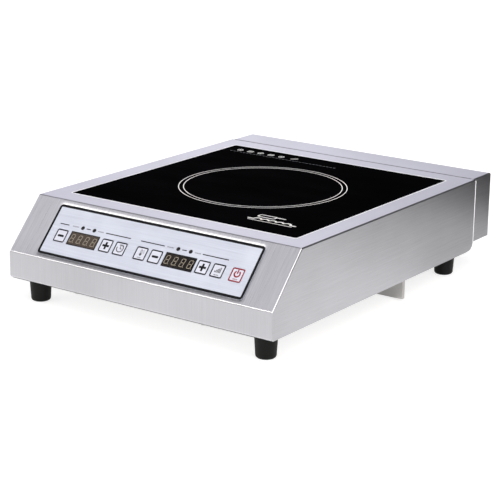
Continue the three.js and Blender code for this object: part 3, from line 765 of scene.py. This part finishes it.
def rubber_foot(node):
    """A moulded foot with a rounded tread, a counterbore for its screw and a lip under the pan."""
    low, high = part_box(node)
    middle = (low + high) / 2
    height = (high.z - low.z) / MM
    lip = (high.x - low.x) / MM / 2
    tread = 10.3
    edge = 3.0
    screw_hole = 2.4
    counterbore = 4.5
    web = 12
    rounded = arc(edge, -90, 0, 6, (tread - edge, edge))
    profile = [
        (counterbore, 0.0), *rounded, (11.4, height - 2.6), (11.6, height - 1.9),
        (lip - 0.2, height - 1.5), (lip, height - 1.2), (lip, height - 0.3), (lip - 0.3, height),
        (screw_hole, height), (screw_hole, web), (counterbore - 0.1, web), (counterbore, web - 0.2),
    ]
    axes = level_axes(middle.x, middle.y, low.z)
    slot = "foot_rubber"
    foot = turned_piece(f"{node}_moulding", profile, axes, FINISH[slot])
    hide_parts(node)


def pan_head_screw(name, axes, radius, height, shank, shank_length):
    """A pan-head screw with a cross recess, its head up along Z."""
    bm = bmesh.new()
    sides = 32
    profile = [
        (shank, -shank_length), (shank, 0), (radius, 0), (radius, height * 0.45),
        (radius * 0.93, height * 0.72), (radius * 0.75, height * 0.92),
    ]
    rings = [loop_of(bm, circle(r, sides), h) for r, h in profile]
    recess = []
    for i in range(sides):
        angle = 2 * math.pi * i / sides
        reach = radius * (0.52 if i % 8 in (0, 7, 1) else 0.2)
        recess.append((reach * math.cos(angle), reach * math.sin(angle)))
    rings.append(loop_of(bm, recess, height))
    rings.append(loop_of(bm, [(x * 0.7, y * 0.7) for x, y in recess], height * 0.35))
    for lower, upper in zip(rings, rings[1:]):
        bridge(bm, lower, upper)
    bm.faces.new(rings[-1])
    bm.faces.new(list(reversed(rings[0])))
    return finished(bm, name, axes, FINISH["zinc_plate"], "root", smooth=True)


def pan_screws():
    """Screws that hold the base pan to the shell's folded edge, seen from underneath."""
    low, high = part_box("base_pan")
    turned_down = Matrix.Rotation(math.pi, 4, "X")
    inset = 6.5 * MM
    along_sides = (-0.12, 0.0, 0.1)
    along_front = (-0.08, 0.08)
    spots = [(x, y) for x in (low.x + inset, high.x - inset) for y in along_sides]
    spots += [(x, low.y + inset) for x in along_front]
    for i, (x, y) in enumerate(spots):
        axes = Matrix.Translation((x, y, low.z - 0.02 * MM)) @ turned_down @ Matrix.Scale(MM, 4)
        pan_head_screw(
            f"pan_screw_{i + 1}", axes, radius=3.0, height=1.9, shank=1.4, shank_length=0.9)


def foot_screw(node):
    """A foot's screw, head down in the counterbore, with a cross recess."""
    low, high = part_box(node)
    middle = (low + high) / 2
    head = 2.6
    place = Matrix.Translation((middle.x, middle.y, low.z + head * MM))
    axes = place @ Matrix.Rotation(math.pi, 4, "X") @ Matrix.Scale(MM, 4)
    length = (high.z - low.z) / MM - head
    screw = pan_head_screw(
        f"{node}_cross", axes, radius=3.9, height=head, shank=2.0, shank_length=length)
    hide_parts(node)


# ---- put the pieces on the frame --------------------------------------------------------------

panel_border()
lamp_rules()
for number in range(1, 5):
    lamp_lens(f"lamp_{number}")
for key_name, (ink_name, key_shapes) in KEY_PRINTS.items():
    key_print(key_name, ink_name, key_shapes)
for display_node in ("display_left", "display_right"):
    display_face(display_node)
zone_rings()
coil_mark()
rear_marks()
plate_seal()
# painted highlights at the side seams
painted_seam_highlights()
for corner in ("front_left", "front_right", "rear_left", "rear_right"):
    rubber_foot(f"foot_{corner}")
    foot_screw(f"foot_screw_{corner}")
pan_screws()
for node_name in ("outer_shell", "rear_cover", "base_pan", "air_baffle"):
    soften(frame["nodes"][node_name], SHEET_EDGE)
soften(frame["nodes"]["ceramic_plate"], GLASS_EDGE, segments=3)
for key_name in KEY_PRINTS:
    soften(frame["nodes"][f"key_{key_name}"], KEY_EDGE)

# ---- studio -------------------------------------------------------------------------------------


def studio_floor():
    """A white table lit softly from within, as product tables are."""
    mesh = bpy.data.meshes.new("studio_floor")
    reach = 9
    corners = [(-reach, -reach, 0), (reach, -reach, 0), (reach, reach, 0), (-reach, reach, 0)]
    mesh.from_pydata(corners, [], [(0, 1, 2, 3)])
    paper = Nodes("studio_paper")
    texture = paper.noise((40, 40, 40), 2)
    paper.set(Base_Color=paper.mix(texture, (0.44, 0.44, 0.44), (0.46, 0.46, 0.46)), Roughness=0.9)
    paper.set(Specular_IOR_Level=0.0, Emission_Color=(1, 1, 1), Emission_Strength=0.74)
    mesh.materials.append(paper.material)
    floor = bpy.data.objects.new("studio_floor", mesh)
    bpy.context.scene.collection.objects.link(floor)


def reflector(name, left, right, tones):
    """A card on the table, seen only in reflections, with (y, brightness) steps to the back."""
    mesh = bpy.data.meshes.new(name)
    up = MM
    front = tones[0][0]
    back = tones[-1][0]
    corners = [(left, front, up), (right, front, up), (right, back, up), (left, back, up)]
    mesh.from_pydata(corners, [], [(0, 1, 2, 3)])
    card = Nodes(name)
    parts = card.add("ShaderNodeSeparateXYZ")
    card.link(card.position(), parts.inputs["Vector"])
    ramp = card.add("ShaderNodeValToRGB")
    elements = ramp.color_ramp.elements
    for y, tone in tones[1:-1]:
        elements.new((y - front) / (back - front)).color = (tone, tone, tone, 1)
    for element, (_, tone) in ((elements[0], tones[0]), (elements[-1], tones[-1])):
        element.color = (tone, tone, tone, 1)
    card.link(card.remap(parts.outputs["Y"], 0, 1, front, back), ramp.inputs["Fac"])
    card.set(Base_Color=(0, 0, 0), Roughness=1, Specular_IOR_Level=0.0, Emission_Strength=1)
    card.link(ramp.outputs["Color"], card.shader.inputs["Emission Color"])
    mesh.materials.append(card.material)
    sheet = bpy.data.objects.new(name, mesh)
    bpy.context.scene.collection.objects.link(sheet)
    sheet.visible_camera = False
    sheet.visible_diffuse = False
    sheet.visible_shadow = False


# Brightness of the cards from front to back, as (y in metres, brightness).
SIDE_TONES = (
    (-0.45, 1.03), (0.0, 1.0), (0.10, 0.97), (0.16, 0.83), (0.24, 0.78), (0.34, 0.75), (0.40, 0.42),
    (0.46, 0.10), (0.56, 0.02), (2.5, 0.02),
)
# Painted shade: the close card grows darker towards the back, standing in for the floor's shadow beside the hob as
# the steel's sides reflect it.
CLOSE_SHADE_TONES = (
    (-0.45, 1.0), (0.0, 0.98), (0.10, 0.90), (0.20, 0.68), (0.30, 0.62), (0.38, 0.54), (0.44, 0.1),
    (0.56, 0.02), (2.5, 0.02),
)
FRONT_TONES = ((-3.0, 0.03), (-0.75, 0.03), (-0.6, 1.06), (-0.25, 1.04))
SHADE_TONES = ((-0.2, 0.56), (0.0, 0.42), (0.15, 0.42))
BEHIND_TONES = ((0.24, 2.4), (0.6, 2.4))

SKY_BASE = (0.81, 0.805, 0.845)
SKY_PATCHES = (
    # direction, degrees fully covered, degrees to its faded rim, colour
    ((-0.60, 0.75, 0.29), 8, 30, (0.96, 0.95, 1.08)),         # pale backdrop behind the hob
    ((-0.545, 0.79, 0.285), 2, 10, (1.4, 1.39, 1.55)),        # its brighter middle
    ((-0.36, 0.915, 0.18), 5, 16, (0.80, 0.80, 0.90)),        # its greyer right end
    ((-0.52, 0.27, 0.81), 19, 34, (0.04, 0.04, 0.04)),        # dark ceiling on the left
    ((0.28, 0.78, 0.56), 22, 42, (0.02, 0.02, 0.02)),         # dark wall behind on the right
    ((-0.558, -0.83, 0.0), 9, 20, (0.04, 0.04, 0.04)),        # dark horizon in front on the left
    ((-0.558, -0.71, 0.43), 5, 12, (9.4, 9.2, 8.5)),          # low strip light in front on the left
    ((0.60, 0.80, 0.0), 12, 22, (0.02, 0.02, 0.02)),          # dark horizon behind on the right
    ((0.66, -0.24, 0.71), 12, 24, (4.3, 4.2, 4.0)),           # strip light on the right
)


def studio_sky():
    """A pale sky with patches, each laid over the ones before it, as the room seen in the steel."""
    world = bpy.data.worlds.new("studio")
    world.use_nodes = True
    bpy.context.scene.world = world
    tree = world.node_tree
    direction = tree.nodes.new("ShaderNodeTexCoord").outputs["Generated"]
    colour = None
    for towards, full, faded, tone in SKY_PATCHES:
        angle = tree.nodes.new("ShaderNodeVectorMath")
        angle.operation = "DOT_PRODUCT"
        angle.inputs[1].default_value = Vector(towards).normalized()
        tree.links.new(direction, angle.inputs[0])
        share = tree.nodes.new("ShaderNodeMapRange")
        share.interpolation_type = "SMOOTHSTEP"
        share.inputs["From Min"].default_value = math.cos(math.radians(faded))
        share.inputs["From Max"].default_value = math.cos(math.radians(full))
        tree.links.new(angle.outputs["Value"], share.inputs["Value"])
        mix = tree.nodes.new("ShaderNodeMix")
        mix.data_type = "RGBA"
        mix.inputs[6].default_value = (*SKY_BASE, 1)
        mix.inputs[7].default_value = (*tone, 1)
        tree.links.new(share.outputs["Result"], mix.inputs[0])
        if colour:
            tree.links.new(colour, mix.inputs[6])
        colour = mix.outputs[2]
    background = next(n for n in tree.nodes if n.type == "BACKGROUND")
    background.inputs["Strength"].default_value = 1
    tree.links.new(colour, background.inputs["Color"])


def softbox(name, location, aim, width, height, power):
    """A rectangular area light turned towards a point."""
    light = bpy.data.lights.new(name, "AREA")
    light.shape = "RECTANGLE"
    light.size = width
    light.size_y = height
    light.energy = power
    lamp = bpy.data.objects.new(name, light)
    lamp.location = location
    lamp.rotation_euler = (Vector(aim) - Vector(location)).to_track_quat("-Z", "Y").to_euler()
    bpy.context.scene.collection.objects.link(lamp)


def product_camera():
    """A long lens to the front right of the hob and a little above it."""
    azimuth = math.radians(35.56)
    elevation = math.radians(16.33)
    roll = math.radians(0.66)
    distance = 1.7444
    aim = Vector((-0.0059, -0.00995, 0.0365))
    level = math.cos(elevation)
    back = Vector((math.sin(azimuth) * level, -math.cos(azimuth) * level, math.sin(elevation)))
    data = bpy.data.cameras.new("product_camera")
    data.lens = 116.98
    data.sensor_width = 36
    data.clip_start = 0.05
    data.clip_end = 50
    camera = bpy.data.objects.new("product_camera", data)
    turn = back.to_track_quat("Z", "Y").to_matrix().to_4x4() @ Matrix.Rotation(roll, 4, "Z")
    camera.matrix_world = Matrix.Translation(aim + back * distance) @ turn
    bpy.context.scene.collection.objects.link(camera)
    bpy.context.scene.camera = camera


studio_floor()
reflector("side_card", 0.26, 2.4, SIDE_TONES)
# painted shade: the floor's shadow beside the hob, seen only in the steel
reflector("close_shade_card", 0.175, 0.26, CLOSE_SHADE_TONES)
reflector("front_card", -3.0, 0.17, FRONT_TONES)
reflector("shade_below", -0.15, 0.15, SHADE_TONES)
reflector("card_behind", 0.02, 0.174, BEHIND_TONES)
studio_sky()
softbox("overhead_light", (0.3, -0.3, 2.2), (0, 0, 0.05), 1.6, 1.6, 10)
product_camera()
bpy.context.scene.view_settings.view_transform = "Standard"
